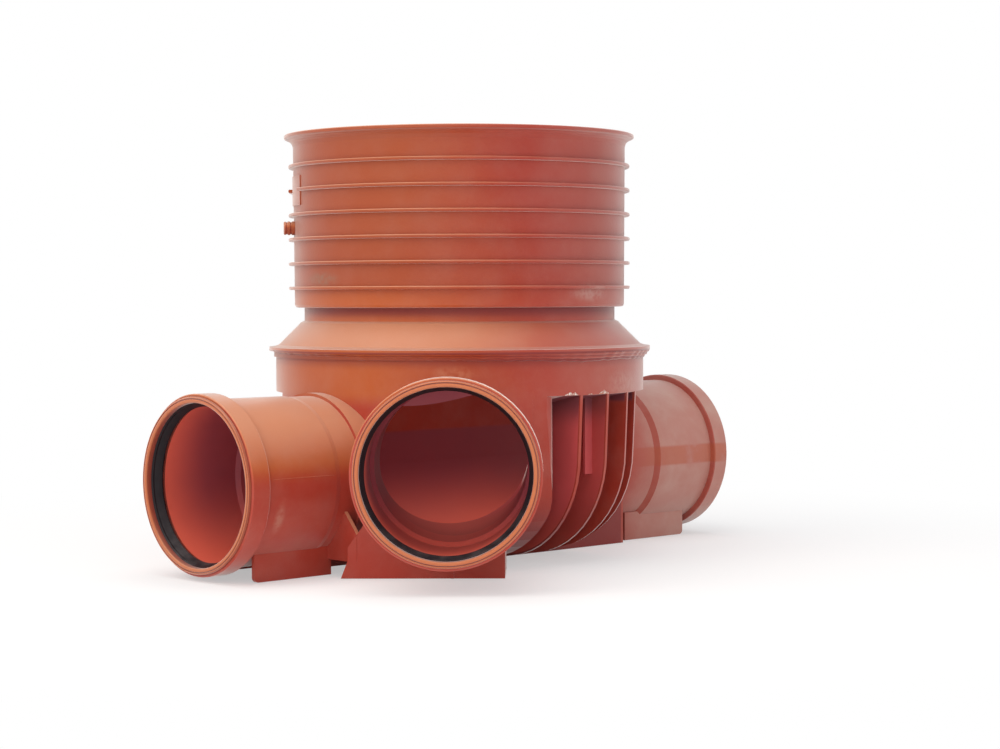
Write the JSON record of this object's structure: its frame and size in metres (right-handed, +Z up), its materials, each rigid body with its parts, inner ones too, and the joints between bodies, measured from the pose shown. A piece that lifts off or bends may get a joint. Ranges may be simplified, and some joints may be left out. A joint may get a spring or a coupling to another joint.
{
  "type": "drain inspection chamber",
  "caption": "Moulded plastic drain inspection chamber base: through channel with benching, angled side inlet, sealed pipe sockets and a hooped socket for a riser pipe",
  "frame": {"origin": "on the riser socket's axis, in the plane that the base stands on", "axes": "+Z up along the riser's axis; +X along the run towards the outlet; the side inlet points 45 degrees between -X and -Y"},
  "size_m": [0.7101, 0.5365, 0.458],
  "materials": {
    "base_plastic": "moulded orange-brown polypropylene, satin, with scuffs and dust",
    "riser_plastic": "moulded orange-brown polypropylene, satin",
    "seal_rubber": "black lip-seal rubber with a dull sheen",
    "ring_plastic": "moulded orange-brown plastic, satin"
  },
  "bodies": {
    "root": {"chamber_base": "base_plastic", "riser_socket": "riser_plastic", "inlet_seal": "seal_rubber", "side_inlet_seal": "seal_rubber", "outlet_seal": "seal_rubber", "inlet_cap_ring": "ring_plastic", "side_inlet_cap_ring": "ring_plastic", "outlet_cap_ring": "ring_plastic"}
  },
  "joints": []
}
